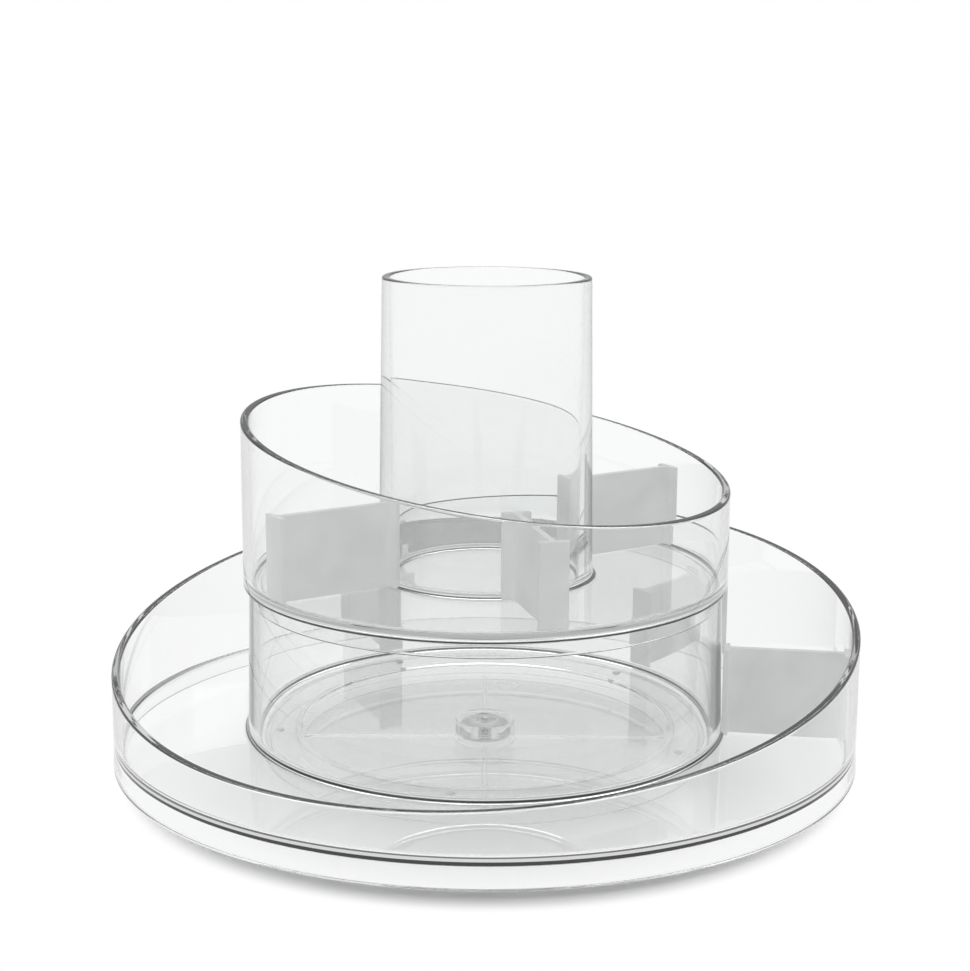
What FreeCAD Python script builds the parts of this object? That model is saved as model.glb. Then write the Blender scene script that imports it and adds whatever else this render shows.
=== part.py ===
import FreeCAD, Part
import math
import os
import re
import Sketcher

# A clear rotating desk organizer. The lower tray, with a drum standing in its middle, turns on
# a low foot. A second tray with a pen cup sits on the drum and closes it like a lid, so the drum
# is a hidden compartment. Loose frosted dividers split both trays into sectors.
# Millimetres. The origin is on the table on the spin axis, +Z is up and -Y is the front.

doc = FreeCAD.newDocument("desk_organizer")
sheet = doc.addObject("Spreadsheet::Sheet", "Sizes")

driving_sizes = [
    # lower tray, a clear moulding
    ("tray_radius", 127.4, "outside of the lower tray's wall"),
    ("tray_wall", 2.7, "thickness of that wall"),
    ("skirt_flare", 0.3, "how much wider the skirt is at its bottom edge"),
    ("skirt_clearance", 2.3, "table to the skirt's bottom edge"),
    ("tray_underside", 9.2, "table to the underside of the tray's floor"),
    ("tray_floor", 2.3, "thickness of the tray's floor"),
    ("tray_rim_height", 32.45, "tray's floor to the slanted rim, halfway between low and high"),
    ("tray_rim_rise", 19.2, "rim's rise above and fall below that height"),
    ("tray_rim_heading", 68.3, "direction of the highest point, degrees from +X"),
    # drum standing on the lower tray's floor, the wall of the hidden compartment
    ("drum_radius", 80.7, "outside of the drum at its top edge"),
    ("drum_draft", 1.2, "how much wider the drum is at its foot"),
    ("drum_wall", 1.8, "thickness of the drum's wall at its top edge"),
    ("drum_height", 50.7, "tray's floor to the drum's top edge"),
    # upper tray, the compartment's lid, one moulding with the pen cup
    ("tier_overhang", 1.95, "how far the upper tray stands out over the drum"),
    ("tier_wall", 2.7, "thickness of the upper tray's wall"),
    ("tier_floor", 2.3, "thickness of the upper tray's floor"),
    ("tier_rim_height", 42.75, "its floor to the slanted rim, halfway between low and high"),
    ("tier_rim_rise", 13.3, "rim's rise above and fall below that height"),
    ("tier_rim_heading", 153.9, "direction of the highest point, degrees from +X"),
    ("plug_depth", 5.7, "ring under the lid that drops into the drum"),
    ("plug_wall", 2.0, "thickness of that ring"),
    ("plug_clearance", 0.3, "ring to the drum's inside, radially"),
    ("lid_clearance", 0.1, "drum's top edge to the underside of the lid"),
    ("cup_radius", 35.05, "outside of the pen cup at its rim"),
    ("cup_draft", 1.6, "how much wider the cup's outside is at the floor"),
    ("cup_wall", 2.5, "cup's wall at its rim"),
    ("cup_bore_draft", 0.4, "how much narrower the cup's inside is at the floor"),
    ("cup_height", 101.0, "upper tray's floor to the cup's rim"),
    # rounding of the clear mouldings
    ("rim_round", 0.7, "edges of the rims"),
    ("corner_round", 1.5, "corners between a wall and a floor"),
    # frosted dividers
    ("divider_web", 2.2, "thickness of the radial web"),
    ("divider_flange", 2.0, "thickness of the curved end flanges"),
    ("divider_flange_width", 9.6, "width of the end flanges"),
    ("divider_clearance", 0.3, "end flange to the wall beside it"),
    ("divider_lift", 0.1, "divider's foot to the floor"),
    ("divider_bevel", 0.4, "bevel round the divider's top"),
    ("upper_divider_height", 28.5, "height of the upper tray's dividers"),
    ("lower_divider_height", 30.0, "height of the lower tray's dividers"),
    ("upper_divider_heading_1", 33, "degrees from +X"),
    ("upper_divider_heading_2", 213, "degrees from +X"),
    ("upper_divider_heading_3", 285, "degrees from +X"),
    ("lower_divider_heading_1", -9, "degrees from +X"),
    ("lower_divider_heading_2", 43, "degrees from +X"),
    ("lower_divider_heading_3", 117, "degrees from +X"),
    # turntable foot, a clear moulding
    ("foot_radius", 77.0, "outside of the foot"),
    ("foot_wall", 2.0, "thickness of the foot's outer ring"),
    ("foot_floor", 1.1, "thickness of the foot's recessed floor"),
    ("foot_clearance", 0.9, "table to the foot's underside"),
    ("foot_ring_width", 13.0, "width of the raised outer ring"),
    ("foot_round", 0.5, "edges of the ring and of the hub"),
    ("hub_radius", 10.3, "outside of the hub"),
    ("hub_gap", 0.3, "hub's top to the tray's underside"),
    ("rib_width", 1.4, "width of the four radial ribs"),
    ("rib_height", 0.8, "height of the ribs above the recess"),
    # spigot under the tray, running in the hub
    ("spigot_radius", 4.8, "outside of the spigot"),
    ("spigot_clearance", 0.08, "spigot to the hub's bore, radially"),
    ("washer_radius", 8.2, "outside of the washer"),
    ("washer_thickness", 1.0, "thickness of the washer"),
    ("washer_side_clearance", 0.4, "washer to its well, radially"),
    ("washer_play", 0.1, "washer to the hub, the turntable's end play"),
    ("screw_radius", 1.4, "screw's shank"),
    ("screw_hole_clearance", 0.05, "shank to its holes, radially"),
    ("screw_grip", 5.8, "spigot's end to the screw's tip"),
    ("screw_head_radius", 3.4, "screw's head"),
    ("screw_head_height", 1.8, "height of the head"),
    ("screw_head_round", 0.6, "head's edge"),
    ("screw_tip_round", 0.7, "tip's edge"),
    ("screw_clearance", 1.3, "table to the screw's head"),
    ("screw_slot_width", 0.9, "width of the cross recess"),
    ("screw_slot_length", 3.8, "length of the cross recess"),
    ("screw_slot_depth", 1.0, "depth of the cross recess"),
    # glides on the foot, which the tray turns on
    ("glide_inset", 5.6, "foot's outside to the middle of a glide"),
    ("glide_heading", -98.5, "first glide, degrees from +X"),
    ("glide_radius", 1.6, "glide's head"),
    ("glide_height", 0.2, "height of the head above the foot's ring"),
    ("glide_pin_radius", 1.1, "glide's pin, pressed into the foot"),
    ("glide_pin_clearance", 0.05, "pin to its hole, radially"),
    ("glide_clearance", 0.1, "glide's top to the tray's underside"),
    ("glide_round", 0.15, "rounding of the glide's top"),
    # soft bumpers under the foot
    ("bumper_radius", 4.0, "outside of a bumper"),
    ("bumper_inset", 1.5, "bumper to the hollow of the outer ring"),
    ("bumper_round", 0.4, "bumper's lower edge"),
]
glide_count = 5
bumper_count = 5
rib_count = 4

for row, (alias, number, meaning) in enumerate(driving_sizes, start=1):
    sheet.set("A%d" % row, alias)
    sheet.set("B%d" % row, str(number))
    sheet.setAlias("B%d" % row, alias)
    sheet.set("C%d" % row, meaning)
doc.recompute()

alias_words = re.compile(r"\b(%s)\b" % "|".join(alias for alias, number, meaning in driving_sizes))


# An expression over the sheet, with each alias given the sheet's name.
def tied(expression):
    return alias_words.sub(r"Sizes.\1", expression)


def number_of(expression):
    return float(sheet.evalExpression(tied(expression)))


# Heights and radii that more than one piece is built from.
tray_top = "(tray_underside + tray_floor)"
tray_inside = "(tray_radius - tray_wall)"
drum_inside = "(drum_radius - drum_wall)"
drum_foot = "(drum_radius + drum_draft)"
cup_foot = "(cup_radius + cup_draft)"
drum_top = "(tray_underside + tray_floor + drum_height)"
tier_underside = "(tray_underside + tray_floor + drum_height + lid_clearance)"
tier_top = "(tray_underside + tray_floor + drum_height + lid_clearance + tier_floor)"
tier_radius = "(drum_radius + tier_overhang)"
tier_inside = "(drum_radius + tier_overhang - tier_wall)"
foot_recess_radius = "(foot_radius - foot_ring_width)"
foot_recess_top = "(foot_clearance + foot_floor)"
foot_ring_top = "(tray_underside - glide_clearance - glide_height)"
hub_top = "(tray_underside - hub_gap)"
washer_bottom = "(screw_clearance + screw_head_height)"
spigot_end = "(screw_clearance + screw_head_height + washer_thickness)"
hub_flange = "(screw_clearance + screw_head_height + washer_thickness + washer_play)"
bore_radius = "(spigot_radius + spigot_clearance)"
well_radius = "(washer_radius + washer_side_clearance)"
pilot_radius = "(screw_radius + screw_hole_clearance)"
bumper_circle = "(foot_radius - foot_ring_width + foot_wall - bumper_inset - bumper_radius)"
glide_circle = "(foot_radius - glide_inset)"


def new_body(label):
    body = doc.addObject("PartDesign::Body", label)
    body.Label = label
    return body


def new_sketch(body, name, role):
    sketch = body.newObject("Sketcher::SketchObject", name)
    plane = next(feature for feature in body.Origin.OriginFeatures if feature.Role == role)
    sketch.AttachmentSupport = [(plane, "")]
    sketch.MapMode = "FlatFace"
    return sketch


# Ties one corner of a sketch to two expressions. A corner on an axis is put on the axis.
def fix_point(sketch, line, corner, across, up):
    for kind, axis, expression in (("DistanceX", -2, across), ("DistanceY", -1, up)):
        if expression == "0":
            sketch.addConstraint(Sketcher.Constraint("PointOnObject", line, corner, axis))
            continue
        distance = number_of(expression)
        index = sketch.addConstraint(Sketcher.Constraint(kind, -1, 1, line, corner, distance))
        sketch.setExpression("Constraints[%d]" % index, tied(expression))


# A closed outline through corners that are pairs of expressions.
def outline(body, name, role, corners):
    sketch = new_sketch(body, name, role)
    points = [FreeCAD.Vector(number_of(across), number_of(up), 0) for across, up in corners]
    for index, point in enumerate(points):
        sketch.addGeometry(Part.LineSegment(point, points[(index + 1) % len(points)]), False)
    for index in range(len(points)):
        following = (index + 1) % len(points)
        sketch.addConstraint(Sketcher.Constraint("Coincident", index, 2, following, 1))
    for index, (across, up) in enumerate(corners):
        fix_point(sketch, index, 1, across, up)
    return sketch


def round_outline(body, name, across, up, radius):
    sketch = new_sketch(body, name, "XY_Plane")
    centre = FreeCAD.Vector(number_of(across), number_of(up), 0)
    circle = Part.Circle(centre, FreeCAD.Vector(0, 0, 1), number_of(radius))
    sketch.addGeometry(circle, False)
    fix_point(sketch, 0, 3, across, up)
    index = sketch.addConstraint(Sketcher.Constraint("Radius", 0, number_of(radius)))
    sketch.setExpression("Constraints[%d]" % index, tied(radius))
    return sketch


# A solid of revolution about the body's vertical axis, from a radius-and-height outline.
def turned(body, name, corners, angle="360"):
    sketch = outline(body, name + "_outline", "XZ_Plane", corners)
    feature = body.newObject("PartDesign::Revolution", name)
    feature.Profile = sketch
    feature.ReferenceAxis = (sketch, ["V_Axis"])
    feature.Midplane = True
    feature.Angle = number_of(angle)
    if angle != "360":
        feature.setExpression("Angle", tied(angle))
    return finished(body, feature)


def finished(body, feature):
    body.Tip = feature
    doc.recompute()
    return feature


# Extrudes a sketch upwards from the height bottom.
def raised(body, name, sketch, bottom, height):
    sketch.setExpression(".AttachmentOffset.Base.z", tied(bottom))
    feature = body.newObject("PartDesign::Pad", name)
    feature.Profile = sketch
    feature.Length = number_of(height)
    feature.setExpression("Length", tied(height))
    return finished(body, feature)


# Cuts a sketch upwards from the height bottom, and makes sure that it removed something.
def sunk(body, name, sketch, bottom, height):
    if bottom != "0":
        sketch.setExpression(".AttachmentOffset.Base.z", tied(bottom))
    before = body.Tip.Shape.Volume
    feature = body.newObject("PartDesign::Pocket", name)
    feature.Profile = sketch
    feature.Reversed = True
    feature.Length = number_of(height)
    feature.setExpression("Length", tied(height))
    finished(body, feature)
    if not feature.Shape.Volume < before:
        raise RuntimeError(name + " cuts nothing")
    return feature


def repeated(body, name, feature, count):
    pattern = body.newObject("PartDesign::PolarPattern", name)
    pattern.Originals = [feature]
    pattern.Axis = (feature.Profile[0], ["N_Axis"])
    pattern.Angle = 360
    pattern.Occurrences = count
    return finished(body, pattern)


# Finishes the edges that the test picks. The test is given each edge.
def edged(body, name, kind, size_name, size, test):
    base = body.Tip
    names = ["Edge%d" % (index + 1) for index, edge in enumerate(base.Shape.Edges) if test(edge)]
    if not names:
        raise RuntimeError(name + " finds no edge")
    feature = body.newObject(kind, name)
    feature.Base = (base, names)
    setattr(feature, size_name, number_of(size))
    feature.setExpression(size_name, tied(size))
    return finished(body, feature)


def rounded(body, name, radius, test):
    return edged(body, name, "PartDesign::Fillet", "Radius", radius, test)


def bevelled(body, name, width, test):
    return edged(body, name, "PartDesign::Chamfer", "Size", width, test)


# A test for full circles, each given by its radius and height.
def on_circles(*circles):
    places = [(number_of(radius), number_of(height)) for radius, height in circles]

    def test(edge):
        if not isinstance(edge.Curve, Part.Circle):
            return False
        radius, height = edge.Curve.Radius, edge.Curve.Center.z
        return any(abs(radius - r) < 0.001 and abs(height - z) < 0.001 for r, z in places)

    return test


def on_slant(edge):
    return isinstance(edge.Curve, Part.Ellipse)


# Cuts a wall's top with a plane that rises by rise over the wall's radius, towards heading. The
# wall's blank stands higher than the plane by its own thickness.
def slanted_rim(body, name, radius, wall, height, rise, heading):
    sketch = round_outline(body, name + "_outline", "0", "0", "%s + %s" % (radius, rise))
    tilt = "atan(%s / %s)" % (rise, radius)
    axis = FreeCAD.Vector(math.sin(math.radians(number_of(heading))),
                          -math.cos(math.radians(number_of(heading))), 0)
    turn = FreeCAD.Rotation(axis, number_of(tilt))
    sketch.AttachmentOffset = FreeCAD.Placement(FreeCAD.Vector(0, 0, number_of(height)), turn)
    sketch.setExpression(".AttachmentOffset.Base.z", tied(height))
    sketch.setExpression(".AttachmentOffset.Rotation.Axis.x", tied("sin(%s)" % heading))
    sketch.setExpression(".AttachmentOffset.Rotation.Axis.y", tied("-cos(%s)" % heading))
    sketch.setExpression(".AttachmentOffset.Rotation.Angle", tied(tilt))
    return sunk(body, name, sketch, "0", "2 * (%s + %s)" % (rise, wall))


def lower_tray():
    body = new_body("lower_tray")
    skirt = "(tray_radius + skirt_flare)"
    rim_height = tray_top + " + tray_rim_height"
    blank_top = rim_height + " + tray_rim_rise + tray_wall"
    turned(body, "tray_wall_blank", [
        (skirt + " - tray_wall", "skirt_clearance"),
        (skirt, "skirt_clearance"),
        ("tray_radius", "tray_underside"),
        ("tray_radius", blank_top),
        (tray_inside, blank_top),
        (tray_inside, "tray_underside"),
    ])
    slanted_rim(body, "tray_rim", "tray_radius", "tray_wall", rim_height, "tray_rim_rise",
                "tray_rim_heading")
    rounded(body, "tray_rim_round", "rim_round", on_slant)
    floor_edge = "tray_radius - tray_wall / 2"
    pilot_end = spigot_end + " + screw_grip + screw_hole_clearance"
    turned(body, "tray_floor_and_drum", [
        (pilot_radius, spigot_end),
        ("spigot_radius", spigot_end),
        ("spigot_radius", "tray_underside"),
        (floor_edge, "tray_underside"),
        (floor_edge, tray_top),
        (drum_foot, tray_top),
        ("drum_radius", drum_top),
        (drum_inside, drum_top),
        (drum_inside, tray_top),
        ("0", tray_top),
        ("0", pilot_end),
        (pilot_radius, pilot_end),
    ])
    rounded(body, "tray_corners", "corner_round",
            on_circles((tray_inside, tray_top), (drum_foot, tray_top), (drum_inside, tray_top)))
    rounded(body, "drum_edge", "rim_round", on_circles((drum_inside, drum_top)))
    return body


def upper_tray():
    body = new_body("upper_tray")
    rim_height = tier_top + " + tier_rim_height"
    blank_top = rim_height + " + tier_rim_rise + tier_wall"
    turned(body, "tier_wall_blank", [
        (tier_inside, tier_underside),
        (tier_radius, tier_underside),
        (tier_radius, blank_top),
        (tier_inside, blank_top),
    ])
    slanted_rim(body, "tier_rim", tier_radius, "tier_wall", rim_height, "tier_rim_rise",
                "tier_rim_heading")
    rounded(body, "tier_rim_round", "rim_round", on_slant)
    plug_radius = "(drum_radius - drum_wall - plug_clearance)"
    plug_bottom = tier_underside + " - plug_depth"
    floor_edge = tier_radius + " - tier_wall / 2"
    cup_top = tier_top + " + cup_height"
    cup_mouth = "(cup_radius - cup_wall)"
    cup_bottom = "(cup_radius - cup_wall - cup_bore_draft)"
    turned(body, "tier_floor_and_cup", [
        ("0", tier_underside),
        (plug_radius + " - plug_wall", tier_underside),
        (plug_radius + " - plug_wall", plug_bottom),
        (plug_radius, plug_bottom),
        (plug_radius, tier_underside),
        (floor_edge, tier_underside),
        (floor_edge, tier_top),
        (cup_foot, tier_top),
        ("cup_radius", cup_top),
        (cup_mouth, cup_top),
        (cup_bottom, tier_top),
        ("0", tier_top),
    ])
    rounded(body, "tier_corners", "corner_round",
            on_circles((tier_inside, tier_top), (cup_foot, tier_top), (cup_bottom, tier_top)))
    rounded(body, "cup_rim", "rim_round", on_circles(("cup_radius", cup_top), (cup_mouth, cup_top)))
    return body


# A divider: a radial web between two curved end flanges that follow the walls.
def divider(label, inner_wall, outer_wall, floor, height, heading):
    body = new_body(label)
    bottom = "(%s + divider_lift)" % floor
    top = "%s + %s" % (bottom, height)
    inner = "(%s + divider_clearance)" % inner_wall
    outer = "(%s - divider_clearance)" % outer_wall
    web = outline(body, label + "_web_outline", "XY_Plane", [
        (inner + " + divider_flange / 2", "-divider_web / 2"),
        (outer + " - divider_flange / 2", "-divider_web / 2"),
        (outer + " - divider_flange / 2", "divider_web / 2"),
        (inner + " + divider_flange / 2", "divider_web / 2"),
    ])
    raised(body, label + "_web", web, bottom, height)
    for side, near, far, face in (("inner", inner, inner + " + divider_flange", inner),
                                  ("outer", outer + " - divider_flange", outer, outer)):
        spread = "2 * asin(divider_flange_width / 2 / %s)" % face
        turned(body, "%s_%s_flange" % (label, side),
               [(near, bottom), (far, bottom), (far, top), (near, top)], spread)
    bevelled(body, label + "_foot_edge", "corner_round - divider_clearance / 2",
             on_circles((inner, bottom), (outer, bottom)))
    ceiling = number_of(top)
    bevelled(body, label + "_top_edge", "divider_bevel",
             lambda edge: all(abs(vertex.Point.z - ceiling) < 0.001 for vertex in edge.Vertexes))
    turn = FreeCAD.Rotation(FreeCAD.Vector(0, 0, 1), number_of(heading))
    body.Placement = FreeCAD.Placement(FreeCAD.Vector(), turn)
    body.setExpression(".Placement.Rotation.Angle", tied(heading))
    return body


def turntable_foot():
    body = new_body("turntable_foot")
    turned(body, "foot_dish", [
        ("foot_radius - foot_wall", "foot_clearance"),
        ("foot_radius", "foot_clearance"),
        ("foot_radius", foot_ring_top),
        (foot_recess_radius, foot_ring_top),
        (foot_recess_radius, foot_recess_top),
        ("hub_radius", foot_recess_top),
        ("hub_radius", hub_top),
        (bore_radius, hub_top),
        (bore_radius, hub_flange),
        (well_radius, hub_flange),
        (well_radius, "foot_clearance"),
        (foot_recess_radius + " + foot_wall", "foot_clearance"),
        (foot_recess_radius + " + foot_wall", foot_ring_top + " - foot_wall"),
        ("foot_radius - foot_wall", foot_ring_top + " - foot_wall"),
    ])
    rib = outline(body, "rib_outline", "XY_Plane", [
        ("hub_radius - foot_wall / 2", "-rib_width / 2"),
        (foot_recess_radius + " + foot_wall / 2", "-rib_width / 2"),
        (foot_recess_radius + " + foot_wall / 2", "rib_width / 2"),
        ("hub_radius - foot_wall / 2", "rib_width / 2"),
    ])
    first_rib = raised(body, "rib", rib, foot_recess_top + " - foot_floor / 2",
                       "rib_height + foot_floor / 2")
    repeated(body, "ribs", first_rib, rib_count)
    hole = round_outline(body, "glide_hole_outline", glide_circle + " * cos(glide_heading)",
                         glide_circle + " * sin(glide_heading)",
                         "glide_pin_radius + glide_pin_clearance")
    first_hole = sunk(body, "glide_hole", hole, foot_ring_top + " - foot_wall", "foot_wall")
    repeated(body, "glide_holes", first_hole, glide_count)
    rounded(body, "foot_edges", "foot_round",
            on_circles(("foot_radius", foot_ring_top), (foot_recess_radius, foot_ring_top),
                       ("hub_radius", hub_top)))
    return body


def washer():
    body = new_body("hub_washer")
    turned(body, "washer_ring", [
        (pilot_radius, washer_bottom),
        ("washer_radius", washer_bottom),
        ("washer_radius", spigot_end),
        (pilot_radius, spigot_end),
    ])
    return body


def screw():
    body = new_body("hub_screw")
    tip = spigot_end + " + screw_grip"
    turned(body, "screw_blank", [
        ("0", "screw_clearance"),
        ("screw_head_radius", "screw_clearance"),
        ("screw_head_radius", washer_bottom),
        ("screw_radius", washer_bottom),
        ("screw_radius", tip),
        ("0", tip),
    ])
    rounded(body, "screw_head_edge", "screw_head_round",
            on_circles(("screw_head_radius", "screw_clearance")))
    rounded(body, "screw_tip_edge", "screw_tip_round", on_circles(("screw_radius", tip)))
    half_long, half_wide = "screw_slot_length / 2", "screw_slot_width / 2"
    for name, long_side, short_side in (("slot_a", half_long, half_wide),
                                        ("slot_b", half_wide, half_long)):
        slot = outline(body, name + "_outline", "XY_Plane", [
            ("-" + long_side, "-" + short_side),
            (long_side, "-" + short_side),
            (long_side, short_side),
            ("-" + long_side, short_side),
        ])
        sunk(body, name, slot, "screw_clearance", "screw_slot_depth")
    return body


# Puts a body that was made on its own axis onto a circle about the spin axis.
def on_ring(body, circle, heading):
    body.setExpression(".Placement.Base.x", tied("%s * cos(%s)" % (circle, heading)))
    body.setExpression(".Placement.Base.y", tied("%s * sin(%s)" % (circle, heading)))


def glide(index):
    label = "glide_%d" % (index + 1)
    body = new_body(label)
    top = foot_ring_top + " + glide_height"
    turned(body, label + "_blank", [
        ("0", foot_ring_top + " - foot_wall"),
        ("glide_pin_radius", foot_ring_top + " - foot_wall"),
        ("glide_pin_radius", foot_ring_top),
        ("glide_radius", foot_ring_top),
        ("glide_radius", top),
        ("0", top),
    ])
    rounded(body, label + "_dome", "glide_round", on_circles(("glide_radius", top)))
    on_ring(body, glide_circle, "(glide_heading + %g)" % (index * 360 / glide_count))
    return body


def bumper(index):
    label = "bumper_%d" % (index + 1)
    body = new_body(label)
    turned(body, label + "_disc", [
        ("0", "0"),
        ("bumper_radius", "0"),
        ("bumper_radius", "foot_clearance"),
        ("0", "foot_clearance"),
    ])
    rounded(body, label + "_edge", "bumper_round", on_circles(("bumper_radius", "0")))
    on_ring(body, bumper_circle, "(glide_heading + %g)" % ((index + 0.5) * 360 / bumper_count))
    return body


pieces = [turntable_foot(), washer(), screw(), lower_tray(), upper_tray()]
pieces += [glide(index) for index in range(glide_count)]
pieces += [bumper(index) for index in range(bumper_count)]
for place in range(1, 4):
    pieces.append(divider("upper_divider_%d" % place, cup_foot, tier_inside, tier_top,
                          "upper_divider_height", "upper_divider_heading_%d" % place))
    pieces.append(divider("lower_divider_%d" % place, drum_foot, tray_inside, tray_top,
                          "lower_divider_height", "lower_divider_heading_%d" % place))
doc.recompute()

for item in doc.Objects:
    if "Invalid" in item.State or "Error" in item.State:
        raise RuntimeError("%s did not compute: %s" % (item.Label, item.State))
for piece in pieces:
    if piece.Shape.isNull() or not piece.Shape.isValid() or len(piece.Shape.Solids) != 1:
        raise RuntimeError(piece.Label + " is not one valid solid")

os.makedirs("parts", exist_ok=True)
for piece in pieces:
    piece.Shape.exportStep("parts/%s.step" % piece.Label)
    print("%-20s %9.1f mm3" % (piece.Label, piece.Shape.Volume))
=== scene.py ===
import math

import bpy
import numpy as np
from mathutils import Matrix, Vector


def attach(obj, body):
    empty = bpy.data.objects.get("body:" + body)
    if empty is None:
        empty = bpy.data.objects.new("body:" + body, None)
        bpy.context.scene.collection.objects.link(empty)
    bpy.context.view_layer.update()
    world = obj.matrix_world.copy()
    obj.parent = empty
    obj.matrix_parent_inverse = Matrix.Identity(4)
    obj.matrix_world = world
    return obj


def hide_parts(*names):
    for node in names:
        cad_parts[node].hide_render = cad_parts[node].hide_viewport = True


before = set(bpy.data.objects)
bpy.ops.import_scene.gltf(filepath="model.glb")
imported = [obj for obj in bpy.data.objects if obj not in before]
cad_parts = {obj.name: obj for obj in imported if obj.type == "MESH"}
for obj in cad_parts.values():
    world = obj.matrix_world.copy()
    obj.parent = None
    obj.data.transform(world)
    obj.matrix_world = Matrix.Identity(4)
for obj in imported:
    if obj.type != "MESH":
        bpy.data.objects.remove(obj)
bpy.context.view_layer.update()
mm = 0.001


# ---- camera and studio

view = {"eye": (-0.00035, -0.6428, 0.2273), "lens": 71.48, "tiltDown": 11.69, "roll": 0.28}


def makeCamera():
    data = bpy.data.cameras.new("camera")
    data.lens = view["lens"]
    data.clip_start, data.clip_end = 0.01, 20
    camera = bpy.data.objects.new("camera", data)
    bpy.context.scene.collection.objects.link(camera)
    camera.matrix_world = (Matrix.Translation(Vector(view["eye"]))
                           @ Matrix.Rotation(math.radians(90 - view["tiltDown"]), 4, "X")
                           @ Matrix.Rotation(math.radians(view["roll"]), 4, "Z"))
    bpy.context.scene.camera = camera


# Painted shadow and shade: the fade from whiteFrom to whiteBy about shadowCentre paints where the
# paper's shadow ends, and the two shares under the drum and the tray paint the paper seen through the
# plastic darker under the drum.
studio = {
    "floorSize": 6.0, "floorColour": 0.6, "shadowCentre": (0, -0.014, 0), "whiteFrom": 0.1115,
    "whiteBy": 0.1235, "paintedUnderDrum": 0.56, "paintedUnderTray": 0.92, "drumEdge": 0.07, "trayEdge": 0.105,
    "worldGrey": 0.5, "mirroredGrey": 0.6,
    "lamps": {"keyLamp": {"size": (1.4, 1.0), "power": 6, "place": (-0.5, -0.9, 1.1)},
              "fillLamp": {"size": (1.2, 1.2), "power": 4, "place": (1.3, 0.2, 1.0)},
              "backLamp": {"size": (1.6, 0.8), "power": 14, "place": (0.0, 1.1, 1.5)}},
}


def newMaterial(name):
    material = bpy.data.materials.new(name)
    material.use_nodes = True
    material.node_tree.nodes.clear()
    return material, material.node_tree


# A node whose named inputs are set to plain values or joined to sockets.
def newNode(tree, kind, **values):
    node = tree.nodes.new(kind)
    for name, value in values.items():
        setInput(tree, node.inputs[name.replace("_", " ")], value)
    return node


def setInput(tree, socket, value):
    if isinstance(value, bpy.types.NodeSocket):
        tree.links.new(value, socket)
    else:
        socket.default_value = value


def mathNode(tree, operation, *values):
    node = tree.nodes.new("ShaderNodeMath")
    node.operation = operation
    for socket, value in zip(node.inputs, values):
        setInput(tree, socket, value)
    return node.outputs[0]


def mixShaders(tree, share, first, second):
    mix = tree.nodes.new("ShaderNodeMixShader")
    for socket, value in zip(mix.inputs, (share, first, second)):
        setInput(tree, socket, value)
    return mix.outputs[0]


# Rays that see the paper meet a plain white away from the foot. Near it, and a little further at
# the front, lamps light the paper and its shadow stays. The shadow is the lamps' own, but where it
# ends, and its longer reach at the front, is painted by the fade to white. Rays through the plastic
# meet a share of the white, which is smaller under the drum than under the tray. So the paper seen
# through the plastic is painted darker under the drum, a painted shade over the lamps' own shadow.
def paperMaterial():
    material, tree = newMaterial("studioPaper")
    paper = newNode(tree, "ShaderNodeBsdfDiffuse", Color=(*[studio["floorColour"]] * 3, 1))
    glow = newNode(tree, "ShaderNodeEmission", Color=(1, 1, 1, 1))
    place = newNode(tree, "ShaderNodeTexCoord")
    reach = tree.nodes.new("ShaderNodeVectorMath")
    reach.operation = "DISTANCE"
    tree.links.new(place.outputs["Object"], reach.inputs[0])
    reach.inputs[1].default_value = studio["shadowCentre"]
    fade = newNode(tree, "ShaderNodeMapRange", Value=reach.outputs["Value"],
                   From_Min=studio["whiteFrom"], From_Max=studio["whiteBy"])
    fade.interpolation_type = "SMOOTHSTEP"
    path = tree.nodes.new("ShaderNodeLightPath")
    bent = mathNode(tree, "MAXIMUM", path.outputs["Is Glossy Ray"], path.outputs["Is Transmission Ray"])
    # Painted shade: the share of white seen through the plastic falls from the tray's edge to the
    # drum's.
    near = newNode(tree, "ShaderNodeMapRange", Value=reach.outputs["Value"],
                   From_Min=studio["drumEdge"], From_Max=studio["trayEdge"],
                   To_Min=studio["paintedUnderDrum"], To_Max=studio["paintedUnderTray"])
    near = mathNode(tree, "MAXIMUM", fade.outputs[0], near.outputs[0])
    direct = mathNode(tree, "MULTIPLY", path.outputs["Is Camera Ray"], fade.outputs[0])
    share = mathNode(tree, "MAXIMUM", direct, mathNode(tree, "MULTIPLY", bent, near))
    shade = mixShaders(tree, share, paper.outputs[0], glow.outputs[0])
    newNode(tree, "ShaderNodeOutputMaterial", Surface=shade)
    return material


def makeLamp(name, size, power, place):
    data = bpy.data.lights.new(name, "AREA")
    data.shape = "RECTANGLE"
    data.size, data.size_y = size
    data.energy = power
    lamp = bpy.data.objects.new(name, data)
    bpy.context.scene.collection.objects.link(lamp)
    lamp.location = place
    lamp.rotation_mode = "QUATERNION"
    lamp.rotation_quaternion = (-Vector(place)).to_track_quat("-Z", "Y")


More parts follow.
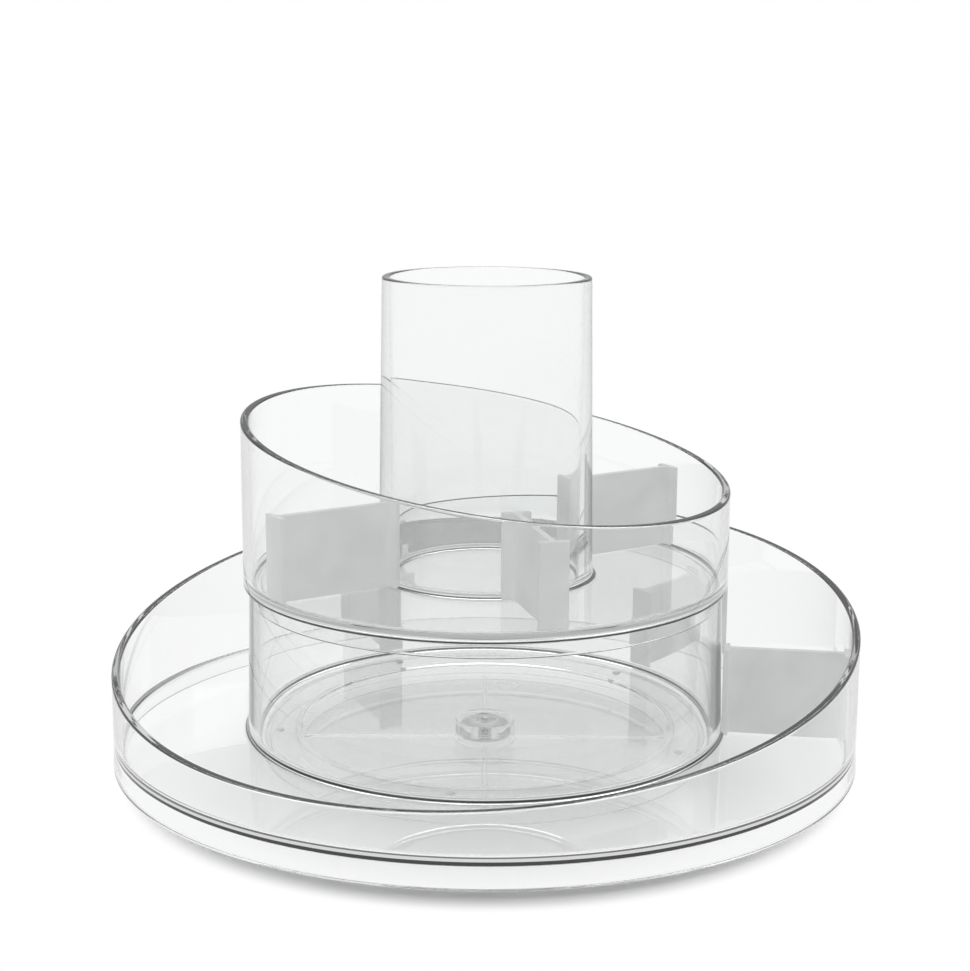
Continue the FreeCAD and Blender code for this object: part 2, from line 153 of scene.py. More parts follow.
def makeStudio():
    half = studio["floorSize"] / 2
    mesh = bpy.data.meshes.new("studioFloor")
    mesh.from_pydata([(-half, -half, 0), (half, -half, 0), (half, half, 0), (-half, half, 0)],
                     [], [(0, 1, 2, 3)])
    floor = bpy.data.objects.new("studioFloor", mesh)
    bpy.context.scene.collection.objects.link(floor)
    mesh.materials.append(paperMaterial())
    for name, lamp in studio["lamps"].items():
        makeLamp(name, **lamp)
    world = bpy.data.worlds.new("studioWorld")
    bpy.context.scene.world = world
    world.use_nodes = True
    tree = world.node_tree
    tree.nodes.clear()
    path = tree.nodes.new("ShaderNodeLightPath")
    shades = [newNode(tree, "ShaderNodeBackground", Color=(level, level, level, 1)).outputs[0]
              for level in (studio["worldGrey"], studio["mirroredGrey"], 1.0)]
    clearRay = mathNode(tree, "MAXIMUM", path.outputs["Is Camera Ray"],
                        path.outputs["Is Transmission Ray"])
    shade = mixShaders(tree, path.outputs["Is Glossy Ray"], shades[0], shades[1])
    shade = mixShaders(tree, clearRay, shade, shades[2])
    newNode(tree, "ShaderNodeOutputWorld", Surface=shade)
    bpy.context.scene.view_settings.view_transform = "Standard"


makeCamera()
makeStudio()
print("camera and studio made")


# ---- shared effects

def newGroup(name, takes, gives):
    group = bpy.data.node_groups.new(name, "ShaderNodeTree")
    for socket, value in takes.items():
        taken = group.interface.new_socket(socket, in_out="INPUT", socket_type="NodeSocketFloat")
        taken.default_value = value
    for socket, kind in gives.items():
        group.interface.new_socket(socket, in_out="OUTPUT", socket_type="NodeSocket" + kind)
    source = group.nodes.new("NodeGroupInput")
    result = group.nodes.new("NodeGroupOutput")
    return group, source, result


def useGroup(tree, group, **values):
    node = tree.nodes.new("ShaderNodeGroup")
    node.node_tree = group
    for name, value in values.items():
        setInput(tree, node.inputs[name], value)
    return node


# The slow flow lines of a moulding, with a finer ripple over them. Sizes and depths are metres.
def flowGroup():
    group, source, result = newGroup("mouldedFlow", {"Size": 0.03, "Depth": 0.00002, "Ripple": 0.000002,
                                                     "Fineness": 9.0}, {"Normal": "Vector"})
    place = group.nodes.new("ShaderNodeTexCoord")
    scale = mathNode(group, "DIVIDE", 1.0, source.outputs["Size"])
    flow = newNode(group, "ShaderNodeTexNoise", Vector=place.outputs["Object"], Scale=scale, Detail=1.0)
    fineScale = mathNode(group, "MULTIPLY", scale, source.outputs["Fineness"])
    fine = newNode(group, "ShaderNodeTexNoise", Vector=place.outputs["Object"], Scale=fineScale,
                   Detail=2.0)
    low = newNode(group, "ShaderNodeBump", Height=flow.outputs[0], Distance=source.outputs["Depth"])
    high = newNode(group, "ShaderNodeBump", Height=fine.outputs[0], Distance=source.outputs["Ripple"],
                   Normal=low.outputs[0])
    group.links.new(high.outputs[0], result.inputs["Normal"])
    return group


# The even grain of a blasted mould, and the slow mottle of its frost.
def grainGroup():
    group, source, result = newGroup("blastedGrain",
                                     {"Size": 0.0004, "Depth": 0.00001, "Mottle": 0.012},
                                     {"Normal": "Vector", "Grain": "Float", "Mottle": "Float"})
    place = group.nodes.new("ShaderNodeTexCoord")
    grain = newNode(group, "ShaderNodeTexNoise", Vector=place.outputs["Object"],
                    Scale=mathNode(group, "DIVIDE", 1.0, source.outputs["Size"]), Detail=2.0)
    mottle = newNode(group, "ShaderNodeTexNoise", Vector=place.outputs["Object"],
                     Scale=mathNode(group, "DIVIDE", 1.0, source.outputs["Mottle"]), Detail=3.0)
    bump = newNode(group, "ShaderNodeBump", Height=grain.outputs[0], Distance=source.outputs["Depth"])
    group.links.new(bump.outputs[0], result.inputs["Normal"])
    group.links.new(grain.outputs[0], result.inputs["Grain"])
    group.links.new(mottle.outputs[0], result.inputs["Mottle"])
    return group


# Turning marks are rings about the spin axis. Their height is a wave of the distance from it.
def turnedGroup():
    group, source, result = newGroup("turnedMarks", {"Pitch": 0.0003, "Depth": 0.000008, "Wear": 700.0},
                                     {"Normal": "Vector", "Wear": "Float"})
    place = group.nodes.new("ShaderNodeTexCoord")
    flat = newNode(group, "ShaderNodeSeparateXYZ", Vector=place.outputs["Object"])
    across = mathNode(group, "MULTIPLY", flat.outputs["X"], flat.outputs["X"])
    along = mathNode(group, "MULTIPLY", flat.outputs["Y"], flat.outputs["Y"])
    reach = mathNode(group, "SQRT", mathNode(group, "ADD", across, along))
    rings = mathNode(group, "DIVIDE", reach, source.outputs["Pitch"])
    phase = mathNode(group, "MULTIPLY", rings, 2 * math.pi)
    wear = newNode(group, "ShaderNodeTexNoise", Vector=place.outputs["Object"],
                   Scale=source.outputs["Wear"], Detail=3.0)
    height = mathNode(group, "ADD", mathNode(group, "SINE", phase), wear.outputs[0])
    bump = newNode(group, "ShaderNodeBump", Height=height, Distance=source.outputs["Depth"])
    group.links.new(bump.outputs[0], result.inputs["Normal"])
    group.links.new(wear.outputs[0], result.inputs["Wear"])
    return group


mouldedFlow, blastedGrain, turnedMarks = flowGroup(), grainGroup(), turnedGroup()


# ---- materials

def mixColours(tree, share, low, high):
    mix = tree.nodes.new("ShaderNodeMix")
    mix.data_type = "RGBA"
    for socket, value in ((0, share), (6, low), (7, high)):
        setInput(tree, mix.inputs[socket], value)
    return mix.outputs[2]


lampSettings = {"headOnBelow": 0.15, "grazingAbove": 0.8}


# Lamps reach what stands behind a see-through piece through a tinted stand-in, which lets less
# through where the light grazes it.
def lampsThrough(tree, shader, headOn, grazing):
    path = tree.nodes.new("ShaderNodeLightPath")
    slope = newNode(tree, "ShaderNodeLayerWeight", Blend=0.5)
    graze = newNode(tree, "ShaderNodeMapRange", Value=slope.outputs["Facing"],
                    From_Min=lampSettings["headOnBelow"], From_Max=lampSettings["grazingAbove"])
    tint = mixColours(tree, graze.outputs[0], (*headOn, 1), (*grazing, 1))
    standIn = newNode(tree, "ShaderNodeBsdfTransparent", Color=tint)
    shade = mixShaders(tree, path.outputs["Is Shadow Ray"], shader, standIn.outputs[0])
    return newNode(tree, "ShaderNodeOutputMaterial", Surface=shade)


# A ray that stays trapped in the plastic ends after some mirrorings in a painted grey, an emission
# that stands in for what it would meet outside, lighter over and under a floor than beside a wall.
# One that comes in through a wall just above a floor's underside, or in the corner above the floor,
# grazes the underside and ends there in a painted shade, which paints the dark lines along a floor's
# edge. Its length inside tells how high it came in.
def lostRay(tree, look):
    path = tree.nodes.new("ShaderNodeLightPath")
    trapped = mathNode(tree, "GREATER_THAN", path.outputs["Glossy Depth"], look["mirrorings"] - 0.5)
    spent = mathNode(tree, "GREATER_THAN", path.outputs["Ray Depth"], look["bounces"] - 0.5)
    face = newNode(tree, "ShaderNodeNewGeometry")
    level = newNode(tree, "ShaderNodeSeparateXYZ", Vector=face.outputs["Normal"]).outputs["Z"]
    level = mathNode(tree, "ABSOLUTE", level)
    steep = newNode(tree, "ShaderNodeSeparateXYZ", Vector=face.outputs["Incoming"]).outputs["Z"]
    place = newNode(tree, "ShaderNodeTexCoord")
    height = newNode(tree, "ShaderNodeSeparateXYZ", Vector=place.outputs["Object"]).outputs["Z"]
    grazes = mathNode(tree, "MULTIPLY", face.outputs["Backfacing"], path.outputs["Is Transmission Ray"])
    for test in (mathNode(tree, "GREATER_THAN", level, look["floorLevel"]),
                 mathNode(tree, "LESS_THAN", mathNode(tree, "ABSOLUTE", steep), look["steepest"]),
                 mathNode(tree, "GREATER_THAN", height, look["lowestFloor"])):
        grazes = mathNode(tree, "MULTIPLY", grazes, test)
    inEdge = mathNode(tree, "COMPARE", path.outputs["Ray Length"], *look["edgeLengths"])
    inCorner = mathNode(tree, "COMPARE", path.outputs["Ray Length"], *look["cornerLengths"])
    stopped = mathNode(tree, "MULTIPLY", grazes, mathNode(tree, "MAXIMUM", inEdge, inCorner))
    lost = mathNode(tree, "MAXIMUM", mathNode(tree, "MAXIMUM", trapped, spent), stopped)
    # Painted light and shade: the greys a lost ray ends in are emission, not light that reaches it.
    greys = {name: (*[look[name]] * 3, 1)
             for name in ("besideWall", "overFloor", "inEdge", "inCorner")}
    freed = mixColours(tree, level, greys["besideWall"], greys["overFloor"])
    ended = mixColours(tree, inEdge, greys["inCorner"], greys["inEdge"])
    return lost, mixColours(tree, stopped, freed, ended)


def clearPlastic(name, look):
    material, tree = newMaterial(name)
    flow = useGroup(tree, mouldedFlow, Size=look["flowSize"], Depth=look["flowDepth"],
                    Ripple=look["ripple"])
    plastic = newNode(tree, "ShaderNodeBsdfPrincipled", Base_Color=(*look["tint"], 1),
                      Roughness=look["blur"], IOR=look["bends"], Transmission_Weight=1.0,
                      Normal=flow.outputs["Normal"])
    lost, paintedGrey = lostRay(tree, look)
    # Painted light and shade: a lost ray's end glows with the painted grey.
    outside = newNode(tree, "ShaderNodeEmission", Color=paintedGrey)
    shade = mixShaders(tree, lost, plastic.outputs[0], outside.outputs[0])
    output = lampsThrough(tree, shade, look["headOn"], look["grazing"])
    body = newNode(tree, "ShaderNodeVolumeAbsorption", Color=(*look["bodyTint"], 1),
                   Density=look["density"])
    tree.links.new(body.outputs[0], output.inputs["Volume"])
    return material


# besideWall, overFloor, inEdge and inCorner are the painted greys that lost rays end in.
clearLook = {
    "tint": (0.967, 0.973, 0.972), "blur": 0.0, "bends": 1.5, "flowSize": 0.03, "flowDepth": 0.00003,
    "ripple": 0.0000004, "mirrorings": 3, "bounces": 11, "besideWall": 0.08, "overFloor": 0.78,
    "inEdge": 0.035, "inCorner": 0.16, "edgeLengths": (0.005, 0.0025), "cornerLengths": (0.0165, 0.005),
    "floorLevel": 0.9, "steepest": 0.6, "lowestFloor": 0.008, "headOn": (0.98, 0.98, 0.98),
    "grazing": (0.1, 0.11, 0.11), "bodyTint": (0.0, 0.05, 0.03), "density": 4.0,
}
tierLook = clearLook | {
    "besideWall": 0.045, "inCorner": 0.45, "edgeLengths": (0.0034, 0.0029),
    "cornerLengths": (0.0128, 0.003),
}
softLook = clearLook | {
    "tint": (0.97, 0.98, 0.98), "blur": 0.08, "bends": 1.41, "flowSize": 0.004, "ripple": 0.000004,
    "density": 6.0,
}
# dimGlow and brightGlow are the levels of the dividers' painted glow.
frostLook = {
    "low": (0.93, 0.94, 0.935, 1), "high": (0.97, 0.98, 0.975, 1), "blur": 0.42, "through": 0.85,
    "dimGlow": (0.46, 0.465, 0.465, 1), "brightGlow": (0.66, 0.665, 0.665, 1), "bends": 1.5,
    "headOn": (0.68, 0.69, 0.69), "grazing": (0.4, 0.41, 0.41), "grainSize": 0.0005,
    "grainDepth": 0.00004,
}
glideLook = {"low": (0.78, 0.79, 0.78, 1), "high": (0.9, 0.91, 0.9, 1), "blur": 0.35,
             "grainSize": 0.0006, "grainDepth": 0.000015}
steelLook = {"low": (0.42, 0.42, 0.43, 1), "high": (0.62, 0.62, 0.63, 1), "blurLow": 0.22,
             "blurHigh": 0.38}


# Light that a face mirrors back into the frosted plastic ends in a painted glow: an even milky
# emission, with the mottle's tone, that stands in for light spreading out in the plastic.
def frostedPlastic():
    look = frostLook
    material, tree = newMaterial("frostedStyrene")
    grain = useGroup(tree, blastedGrain, Size=look["grainSize"], Depth=look["grainDepth"])
    colour = mixColours(tree, grain.outputs["Mottle"], look["low"], look["high"])
    plastic = newNode(tree, "ShaderNodeBsdfPrincipled", Base_Color=colour, Roughness=look["blur"],
                      IOR=look["bends"], Transmission_Weight=look["through"],
                      Normal=grain.outputs["Normal"])
    path = tree.nodes.new("ShaderNodeLightPath")
    face = tree.nodes.new("ShaderNodeNewGeometry")
    trapped = mathNode(tree, "MULTIPLY", face.outputs["Backfacing"], path.outputs["Is Glossy Ray"])
    # Painted light: the mirrored rays inside end in this glow, which is emission, not lamp light.
    glow = mixColours(tree, grain.outputs["Mottle"], look["dimGlow"], look["brightGlow"])
    paintedGlow = newNode(tree, "ShaderNodeEmission", Color=glow)
    shade = mixShaders(tree, trapped, plastic.outputs[0], paintedGlow.outputs[0])
    lampsThrough(tree, shade, look["headOn"], look["grazing"])
    return material


def glidePlastic():
    look = glideLook
    material, tree = newMaterial("naturalNylon")
    grain = useGroup(tree, blastedGrain, Size=look["grainSize"], Depth=look["grainDepth"])
    colour = mixColours(tree, grain.outputs["Grain"], look["low"], look["high"])
    plastic = newNode(tree, "ShaderNodeBsdfPrincipled", Base_Color=colour, Roughness=look["blur"],
                      Normal=grain.outputs["Normal"])
    newNode(tree, "ShaderNodeOutputMaterial", Surface=plastic.outputs[0])
    return material


def turnedSteel():
    look = steelLook
    material, tree = newMaterial("zincSteel")
    marks = useGroup(tree, turnedMarks)
    colour = mixColours(tree, marks.outputs["Wear"], look["low"], look["high"])
    blur = newNode(tree, "ShaderNodeMapRange", Value=marks.outputs["Wear"], To_Min=look["blurLow"],
                   To_Max=look["blurHigh"])
    metal = newNode(tree, "ShaderNodeBsdfPrincipled", Base_Color=colour, Metallic=1.0,
                    Roughness=blur.outputs[0], Normal=marks.outputs["Normal"])
    newNode(tree, "ShaderNodeOutputMaterial", Surface=metal.outputs[0])
    return material


clear = clearPlastic("clearStyrene", clearLook)
clearTier = clearPlastic("clearStyreneTier", tierLook)
soft = clearPlastic("clearElastomer", softLook)
frosted, nylon, steel = frostedPlastic(), glidePlastic(), turnedSteel()
print("materials made")


# ---- shared shapes

# Rounds the corners of an outline whose points may differ with heading. An arc between the
# tangent points is the rational quadratic curve with the corner's half-angle sine as its weight.
# A straight stretch gets a point near each end, so that smooth shading turns only at the corners.
def roundedOutline(corners, closed, columns, steps=6, margin=0.4):
    points = np.array([[np.broadcast_to(np.asarray(value, float), columns) for value in (across, up)]
                       for across, up, rounding in corners]).transpose(2, 0, 1)
    count = len(corners)
    arcs = []
    share = np.linspace(0, 1, steps + 1)[None, :, None]
    for index, (across, up, rounding) in enumerate(corners):
        here = points[:, index]
        ends = not closed and index in (0, count - 1)
        if ends or rounding == 0:
            arcs.append(here[:, None])
            continue
        back = points[:, index - 1] - here
        ahead = points[:, (index + 1) % count] - here
        back /= np.linalg.norm(back, axis=1, keepdims=True)
        ahead /= np.linalg.norm(ahead, axis=1, keepdims=True)
        halfAngle = np.arccos(np.clip((back * ahead).sum(1), -1, 1)) / 2
        reach = (rounding / np.tan(halfAngle))[:, None]
        start, finish = here + back * reach, here + ahead * reach
        weight = np.sin(halfAngle)[:, None, None]
        top = ((1 - share) ** 2 * start[:, None] + 2 * share * (1 - share) * weight * here[:, None]
               + share ** 2 * finish[:, None])
        arcs.append(top / ((1 - share) ** 2 + 2 * share * (1 - share) * weight + share ** 2))
    pieces = []
    for index, arc in enumerate(arcs):
        pieces.append(arc)
        if index == count - 1 and not closed:
            break
        start, finish = arc[:, -1], arcs[(index + 1) % count][:, 0]
        length = np.linalg.norm(finish - start, axis=1, keepdims=True)
        step = (finish - start) * np.minimum(margin / length, 0.3)
        pieces.append(np.stack([start + step, finish - step], axis=1))
    return np.concatenate(pieces, axis=1)


# Quads between the neighbours of a grid, which may close on itself along either side.
def gridFaces(across, along, acrossCloses, alongCloses):
    a, b = np.meshgrid(np.arange(across - (not acrossCloses)), np.arange(along - (not alongCloses)),
                       indexing="ij")
    c, d = (a + 1) % across, (b + 1) % along
    quads = np.stack([a * along + b, a * along + d, c * along + d, c * along + b], -1)
    return quads.reshape(-1, 4).tolist()


def newPiece(name, points, faces, material, node, body, slot):
    mesh = bpy.data.meshes.new(name)
    mesh.from_pydata((points * mm).tolist(), [], faces)
    mesh.shade_smooth()
    mesh.materials.append(material)
    piece = bpy.data.objects.new(name, mesh)
    bpy.context.scene.collection.objects.link(piece)
    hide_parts(node)
    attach(piece, body)


# A solid turned about an upright axis from an outline of radius and height at each heading. A
# closed outline makes a ring, and an open one starts and ends on the axis.
def turnedSolid(outline, headings, closed, centre=(0, 0)):
    columns, count = outline.shape[:2]
    turn = np.broadcast_to(headings if headings.ndim == 2 else headings[:, None], (columns, count))
    radius, height = outline[..., 0], outline[..., 1]
    grid = np.stack([centre[0] + radius * np.cos(turn), centre[1] + radius * np.sin(turn), height], -1)
    if closed:
        return grid.reshape(-1, 3), gridFaces(columns, count, True, True)
    points = np.concatenate([grid[:, 1:-1].reshape(-1, 3), grid[:1, 0], grid[:1, -1]])
    width = count - 2
    first, last = columns * width, columns * width + 1
    caps = [[first, a * width, (a + 1) % columns * width] for a in range(columns)]
    caps += [[last, ((a + 1) % columns + 1) * width - 1, (a + 1) * width - 1] for a in range(columns)]
    return points, gridFaces(columns, width, True, False) + caps


def evenHeadings(columns):
    return np.linspace(0, 2 * np.pi, columns, endpoint=False)


# ---- trays

lowerSettings = {
    "wall": 2.7, "flare": 0.3, "underside": 9.2, "floor": 2.3, "rimHeight": 43.95, "rimRise": 19.2,
    "rimHeading": 68.3, "drumRadius": 80.7, "drumDraft": 1.2, "drumWall": 1.8, "drumHeight": 50.7,
    "rimRound": 0.7, "cornerRound": 1.5, "edgeRound": 0.25, "spigotRadius": 4.8, "spigotLength": 5.1,
    "pilotRadius": 1.45, "pilotDepth": 5.85, "radius": 127.4, "skirtClearance": 2.3, "columns": 360,
}


# A slanted rim's height is the middle height plus a cosine of the heading.
def makeLowerTray():
    s = lowerSettings
    headings = evenHeadings(s["columns"])
    inside = s["radius"] - s["wall"]
    top = s["underside"] + s["floor"]
    drumTop = top + s["drumHeight"]
    drumInside = s["drumRadius"] - s["drumWall"]
    skirt = s["radius"] + s["flare"]
    spigotEnd = s["underside"] - s["spigotLength"]
    slant = np.cos(headings - math.radians(s["rimHeading"])) * s["rimRise"] / s["radius"]
    edge = s["edgeRound"]
    corners = [
        (0, top, 0),
        (drumInside, top, s["cornerRound"]),
        (drumInside, drumTop, s["rimRound"]),
        (s["drumRadius"], drumTop, edge),
        (s["drumRadius"] + s["drumDraft"], top, s["cornerRound"]),
        (inside, top, s["cornerRound"]),
        (inside, s["rimHeight"] + inside * slant, s["rimRound"]),
        (s["radius"], s["rimHeight"] + s["radius"] * slant, s["rimRound"]),
        (s["radius"], s["underside"], 0),
        (skirt, s["skirtClearance"], edge),
        (skirt - s["wall"], s["skirtClearance"], edge),
        (inside, s["underside"], edge),
        (s["spigotRadius"], s["underside"], edge),
        (s["spigotRadius"], spigotEnd, edge),
        (s["pilotRadius"], spigotEnd, edge),
        (s["pilotRadius"], spigotEnd + s["pilotDepth"], edge),
        (0, spigotEnd + s["pilotDepth"], 0),
    ]
    outline = roundedOutline(corners, False, s["columns"])
    newPiece("lowerTray", *turnedSolid(outline, headings, False), clear, "lower_tray", "tray",
             "clear_plastic")


upperSettings = {
    "radius": 82.65, "wall": 2.7, "underside": 62.3, "floor": 2.3, "rimHeight": 107.35, "rimRise": 13.3,
    "rimHeading": 153.9, "plugRadius": 78.6, "plugWall": 2.0, "plugDepth": 5.7, "cupRadius": 35.05,
    "cupDraft": 1.6, "cupWall": 2.5, "cupBoreDraft": 0.4, "cupHeight": 101.0, "rimRound": 0.7,
    "cornerRound": 1.5, "edgeRound": 0.25, "columns": 360,
}


def makeUpperTray():
    s = upperSettings
    headings = evenHeadings(s["columns"])
    inside = s["radius"] - s["wall"]
    top = s["underside"] + s["floor"]
    cupTop = top + s["cupHeight"]
    cupMouth = s["cupRadius"] - s["cupWall"]
    slant = np.cos(headings - math.radians(s["rimHeading"])) * s["rimRise"] / s["radius"]
    plugInside, plugEnd = s["plugRadius"] - s["plugWall"], s["underside"] - s["plugDepth"]
    edge = s["edgeRound"]
    corners = [
        (0, top, 0),
        (cupMouth - s["cupBoreDraft"], top, s["cornerRound"]),
        (cupMouth, cupTop, s["rimRound"]),
        (s["cupRadius"], cupTop, s["rimRound"]),
        (s["cupRadius"] + s["cupDraft"], top, s["cornerRound"]),
        (inside, top, s["cornerRound"]),
        (inside, s["rimHeight"] + inside * slant, s["rimRound"]),
        (s["radius"], s["rimHeight"] + s["radius"] * slant, s["rimRound"]),
        (s["radius"], s["underside"], edge),
        (s["plugRadius"], s["underside"], edge),
        (s["plugRadius"], plugEnd, edge),
        (plugInside, plugEnd, edge),
        (plugInside, s["underside"], edge),
        (0, s["underside"], 0),
    ]
    outline = roundedOutline(corners, False, s["columns"])
    newPiece("upperTray", *turnedSolid(outline, headings, False), clearTier, "upper_tray", "lid",
             "clear_plastic")


# ---- foot

footSettings = {
    "radius": 77.0, "wall": 2.0, "recess": 64.0, "recessTop": 2.0, "underside": 0.9, "ringTop": 8.9,
    "hubRadius": 10.3, "hubTop": 8.9, "bore": 4.88, "flange": 4.2, "well": 8.6, "topRound": 0.5,
    "innerRound": 0.35, "edgeRound": 0.25, "ribs": 4, "ribHalfWidth": 0.7, "ribHeight": 0.8,
    "ribPlaces": (-1.6, -1.2, -1.04, -1.0, -0.94, -0.82, 0, 0.82, 0.94, 1.0, 1.04, 1.2, 1.6),
    "ribLifts": (0, 0, 0.05, 0.5, 0.94, 1, 1, 1, 0.94, 0.5, 0.05, 0, 0), "between": 80,
}


# Columns keep to a rib's straight sides, so a column's heading over a rib is the arcsine of its
# place across the rib over the radius. Between two ribs the headings are spread evenly.
def makeFoot():
    s = footSettings
    place = np.array(s["ribPlaces"])
    spread = np.linspace(0, 1, s["between"] + 2)[1:-1]
    oneLift = np.concatenate([s["ribLifts"], np.zeros(s["between"])])
    rise = np.tile(oneLift, s["ribs"]) * s["ribHeight"] + s["recessTop"]
    columns = len(rise)
    corners = [
        (s["bore"], s["hubTop"], s["edgeRound"]),
        (s["hubRadius"], s["hubTop"], s["topRound"]),
        (s["hubRadius"], rise, s["innerRound"]),
        (s["recess"], rise, s["innerRound"]),
        (s["recess"], s["ringTop"], s["topRound"]),
        (s["radius"], s["ringTop"], s["topRound"]),
        (s["radius"], s["underside"], s["edgeRound"]),
        (s["radius"] - s["wall"], s["underside"], s["edgeRound"]),
        (s["radius"] - s["wall"], s["ringTop"] - s["wall"], s["innerRound"]),
        (s["recess"] + s["wall"], s["ringTop"] - s["wall"], s["innerRound"]),
        (s["recess"] + s["wall"], s["underside"], s["edgeRound"]),
        (s["well"], s["underside"], s["edgeRound"]),
        (s["well"], s["flange"], s["edgeRound"]),
        (s["bore"], s["flange"], s["edgeRound"]),
    ]
    outline = roundedOutline(corners, True, columns)
    reach = np.maximum(outline[..., 0], s["hubRadius"])
    step = 2 * np.pi / s["ribs"]
    width = len(place) + s["between"]
    headings = np.empty(outline.shape[:2])
    for index in range(s["ribs"]):
        onRib = slice(index * width, index * width + len(place))
        rest = slice(onRib.stop, (index + 1) * width)
        offset = np.arcsin(place[:, None] * s["ribHalfWidth"] / reach[onRib])
        side = np.arcsin(place[-1] * s["ribHalfWidth"] / reach[rest])
        headings[onRib] = index * step + offset
        headings[rest] = index * step + side + spread[:, None] * (step - 2 * side)
    newPiece("turntableFoot", *turnedSolid(outline, headings, True), clear, "turntable_foot", "foot",
             "clear_plastic")


# ---- small pieces

glideSettings = {"count": 5, "circle": 71.4, "heading": -98.5, "radius": 1.6, "pin": 1.1, "top": 9.1,
                 "seat": 8.905, "foot": 6.91, "round": 0.15, "seatRound": 0.03, "footRound": 0.2,
                 "margin": 0.1, "columns": 48}
bumperSettings = {"count": 5, "circle": 60.5, "heading": -62.5, "radius": 4.0, "top": 0.89,
                  "round": 0.4, "topRound": 0.1, "margin": 0.2, "columns": 72}


def onCircle(s, index):
    heading = math.radians(s["heading"] + index * 360 / s["count"])
    return s["circle"] * math.cos(heading), s["circle"] * math.sin(heading)


def makeRing(s, name, corners, material, slot):
    outline = roundedOutline(corners, False, s["columns"], margin=s["margin"])
    for index in range(s["count"]):
        solid = turnedSolid(outline, evenHeadings(s["columns"]), False, onCircle(s, index))
        node = "%s_%d" % (name, index + 1)
        newPiece("%s%d" % (name, index + 1), *solid, material, node, "foot", slot)


def makeGlides():
    s = glideSettings
    corners = [(0, s["top"], 0), (s["radius"], s["top"], s["round"]),
               (s["radius"], s["seat"], s["seatRound"]), (s["pin"], s["seat"], s["seatRound"]),
               (s["pin"], s["foot"], s["footRound"]), (0, s["foot"], 0)]
    makeRing(s, "glide", corners, nylon, "glide_plastic")


def makeBumpers():
    s = bumperSettings
    corners = [(0, s["top"], 0), (s["radius"], s["top"], s["topRound"]),
               (s["radius"], 0, s["round"]), (0, 0, 0)]
    makeRing(s, "bumper", corners, soft, "clear_rubber")


washerSettings = {"inside": 1.45, "radius": 8.2, "low": 3.1, "high": 4.09, "round": 0.15,
                  "columns": 120}


def makeWasher():
    s = washerSettings
    corners = [(s["inside"], s["high"], s["round"]), (s["radius"], s["high"], s["round"]),
               (s["radius"], s["low"], s["round"]), (s["inside"], s["low"], s["round"])]
    outline = roundedOutline(corners, True, s["columns"])
    newPiece("hubWasher", *turnedSolid(outline, evenHeadings(s["columns"]), True), steel, "hub_washer",
             "tray", "steel")


screwSettings = {
    "radius": 1.4, "threadDepth": 0.25, "pitch": 0.8, "tip": 9.9, "tipRound": 0.7, "headRadius": 3.4,
    "headTop": 3.09, "headFoot": 1.3, "headRound": 0.6, "headTopRound": 0.15, "neckRound": 0.05,
    "neck": 0.15, "core": 0.5, "crossHalf": 1.9, "crossHalfWidth": 0.45, "crossDepth": 1.0,
    "crossSlope": 0.1, "spacing": 0.07, "margin": 0.1, "columns": 120,
}


# An outline with added points, so that no two neighbours are further apart than the spacing.
def filledLine(line, spacing):
    parts = []
    for start, finish in zip(line[:-1], line[1:]):
        count = max(1, int(np.ceil(np.linalg.norm(finish - start) / spacing)))
        parts.append(start + (finish - start) * np.arange(count)[:, None] / count)
    return np.concatenate(parts + [line[-1:]])


# The thread's depth is a ramp of the height in pitches less the turns. The cross is a step of
# the distance outside the nearer of its two arms.
def makeScrew():
    s = screwSettings
    headings = evenHeadings(s["columns"])
    blank = [(0, s["tip"], 0), (s["radius"], s["tip"], s["tipRound"]),
             (s["radius"], s["headTop"], s["neckRound"]),
             (s["headRadius"], s["headTop"], s["headTopRound"]),
             (s["headRadius"], s["headFoot"], s["headRound"]), (0, s["headFoot"], 0)]
    line = filledLine(roundedOutline(blank, False, 1, margin=s["margin"])[0], s["spacing"])
    radius = np.tile(line[:, 0], (s["columns"], 1))
    height = np.tile(line[:, 1], (s["columns"], 1))
    turn = headings[:, None] / (2 * np.pi)
    wave = np.abs((height / s["pitch"] - turn) % 1 - 0.5) * 2
    shank = (height > s["headTop"] + s["neck"]) & (radius > s["core"])
    radius = np.where(shank, radius - s["threadDepth"] * wave, radius)
    across = np.abs(radius * np.cos(headings[:, None]))
    along = np.abs(radius * np.sin(headings[:, None]))
    armA = np.maximum(across - s["crossHalf"], along - s["crossHalfWidth"])
    armB = np.maximum(along - s["crossHalf"], across - s["crossHalfWidth"])
    inCross = np.clip(-np.minimum(armA, armB) / s["crossSlope"], 0, 1)
    onFace = np.isclose(height, s["headFoot"], atol=0.001)
    height = np.where(onFace, height + s["crossDepth"] * inCross, height)
    outline = np.stack([radius, height], -1)
    newPiece("hubScrew", *turnedSolid(outline, headings, False), steel, "hub_screw", "tray", "steel")


# ---- dividers

dividerSettings = {
    "web": 2.2, "flange": 2.0, "flangeWidth": 9.6, "clearance": 0.3, "lift": 0.1, "topRound": 0.3,
    "footRound": 0.2, "footCut": 1.35, "sideRound": 0.5, "webRound": 0.8, "margin": 0.12,
    "planMargin": 0.2, "spacing": 1.0, "aboveCut": (-0.15, 0, 0.2, 0.6), "belowTop": 0.3,
    "roundSteps": 6,
}
upperDividers = {"name": "upperDivider", "node": "upper_divider", "inner": 36.65, "outer": 79.95,
                 "floor": 64.6, "height": 28.5, "headings": (33, 213, 285)}
lowerDividers = {"name": "lowerDivider", "node": "lower_divider", "inner": 81.9, "outer": 124.7,
                 "floor": 11.5, "height": 30.0, "headings": (-9, 43, 117)}


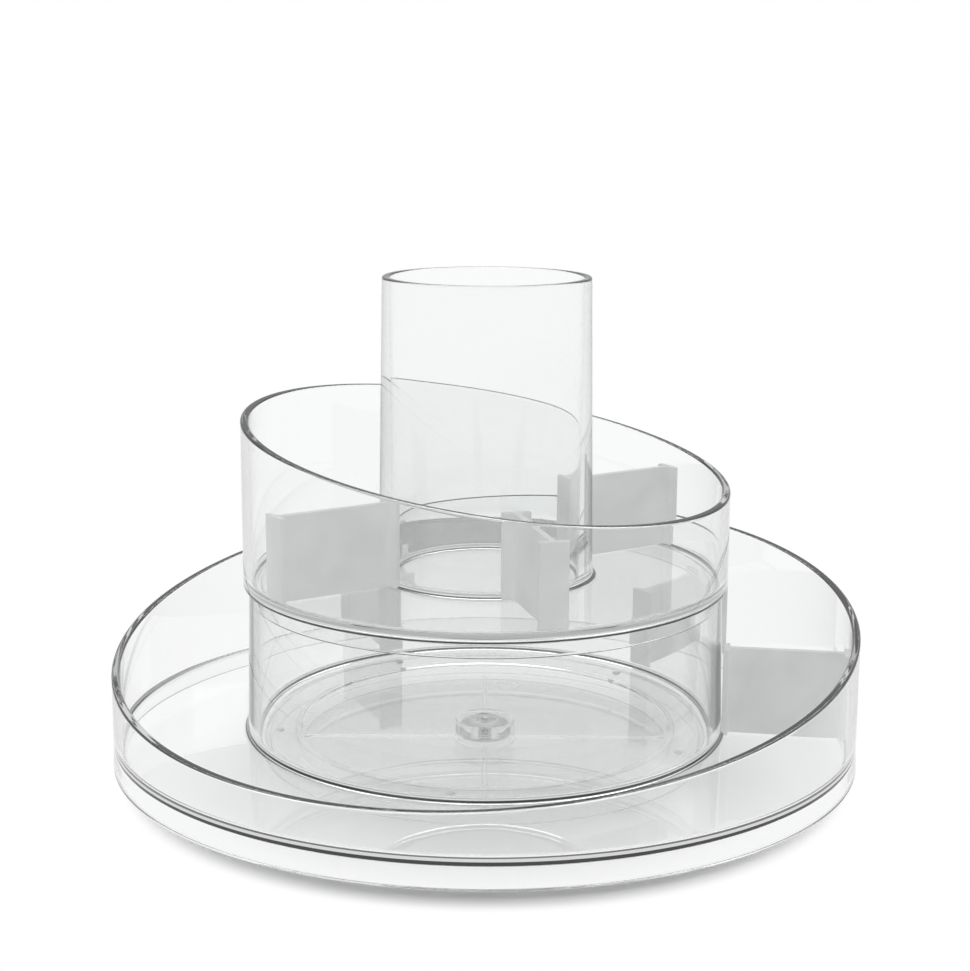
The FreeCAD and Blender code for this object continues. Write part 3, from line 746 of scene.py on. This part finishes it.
# A divider's plan runs round its web and flanges in radius and distance to the side. Each level
# draws the plan in by a quarter circle at the top and foot, and by a ramp at the two end faces.
def makeDividers(group):
    s = dividerSettings
    near, far = group["inner"] + s["clearance"], group["outer"] - s["clearance"]
    half, web = s["flangeWidth"] / 2, s["web"] / 2
    nearBack, farBack = near + s["flange"], far - s["flange"]
    nearHalf, farHalf = half * nearBack / near, half * farBack / far
    side, fillet = s["sideRound"], s["webRound"]
    corners = [(near, -half, side), (nearBack, -nearHalf, side), (nearBack, -web, fillet),
               (farBack, -web, fillet), (farBack, -farHalf, side), (far, -half, side),
               (far, half, side), (farBack, farHalf, side), (farBack, web, fillet),
               (nearBack, web, fillet), (nearBack, nearHalf, side), (near, half, side)]
    rough = roundedOutline(corners, True, 1, margin=s["planMargin"])[0]
    plan = filledLine(np.concatenate([rough, rough[:1]]), s["spacing"])[:-1]
    along = np.roll(plan, -1, axis=0) - np.roll(plan, 1, axis=0)
    along /= np.linalg.norm(along, axis=1, keepdims=True)
    outward = np.stack([along[:, 1], -along[:, 0]], -1)
    low = group["floor"] + s["lift"]
    high = low + group["height"]
    bend = np.linspace(0, np.pi / 2, s["roundSteps"])
    foot, top, cut = s["footRound"], s["topRound"], s["footCut"]
    levels = [(foot + s["margin"], low)]
    levels += [(foot * (1 - math.sin(a)), low + foot * (1 - math.cos(a))) for a in bend]
    levels += [(0, low + cut + extra) for extra in s["aboveCut"]] + [(0, high - top - s["belowTop"])]
    levels += [(top * (1 - math.cos(a)), high - top * (1 - math.sin(a))) for a in bend]
    levels += [(top + s["margin"], high)]
    rows = []
    for inset, height in levels:
        ramp = max(0.0, cut - (height - low))
        ring = plan - outward * inset
        ring[:, 0] = np.clip(ring[:, 0], near + ramp, far - ramp)
        rows.append(np.column_stack([np.sqrt(ring[:, 0] ** 2 - ring[:, 1] ** 2), ring[:, 1],
                                     np.full(len(ring), height)]))
    grid = np.array(rows)
    count, width = grid.shape[:2]
    faces = gridFaces(count, width, False, True)
    faces += [list(range(width))[::-1], [(count - 1) * width + index for index in range(width)]]
    x, y, z = grid.reshape(-1, 3).T
    for index, heading in enumerate(group["headings"]):
        turn = math.radians(heading)
        points = np.column_stack([x * math.cos(turn) - y * math.sin(turn),
                                  x * math.sin(turn) + y * math.cos(turn), z])
        name = "%s%d" % (group["name"], index + 1)
        node = "%s_%d" % (group["node"], index + 1)
        newPiece(name, points, faces, frosted, node, node, "frosted_plastic")


makeLowerTray()
makeUpperTray()
print("trays made")
makeFoot()
makeGlides()
makeBumpers()
makeWasher()
makeScrew()
print("foot and small pieces made")
makeDividers(upperDividers)
makeDividers(lowerDividers)
print("dividers made")
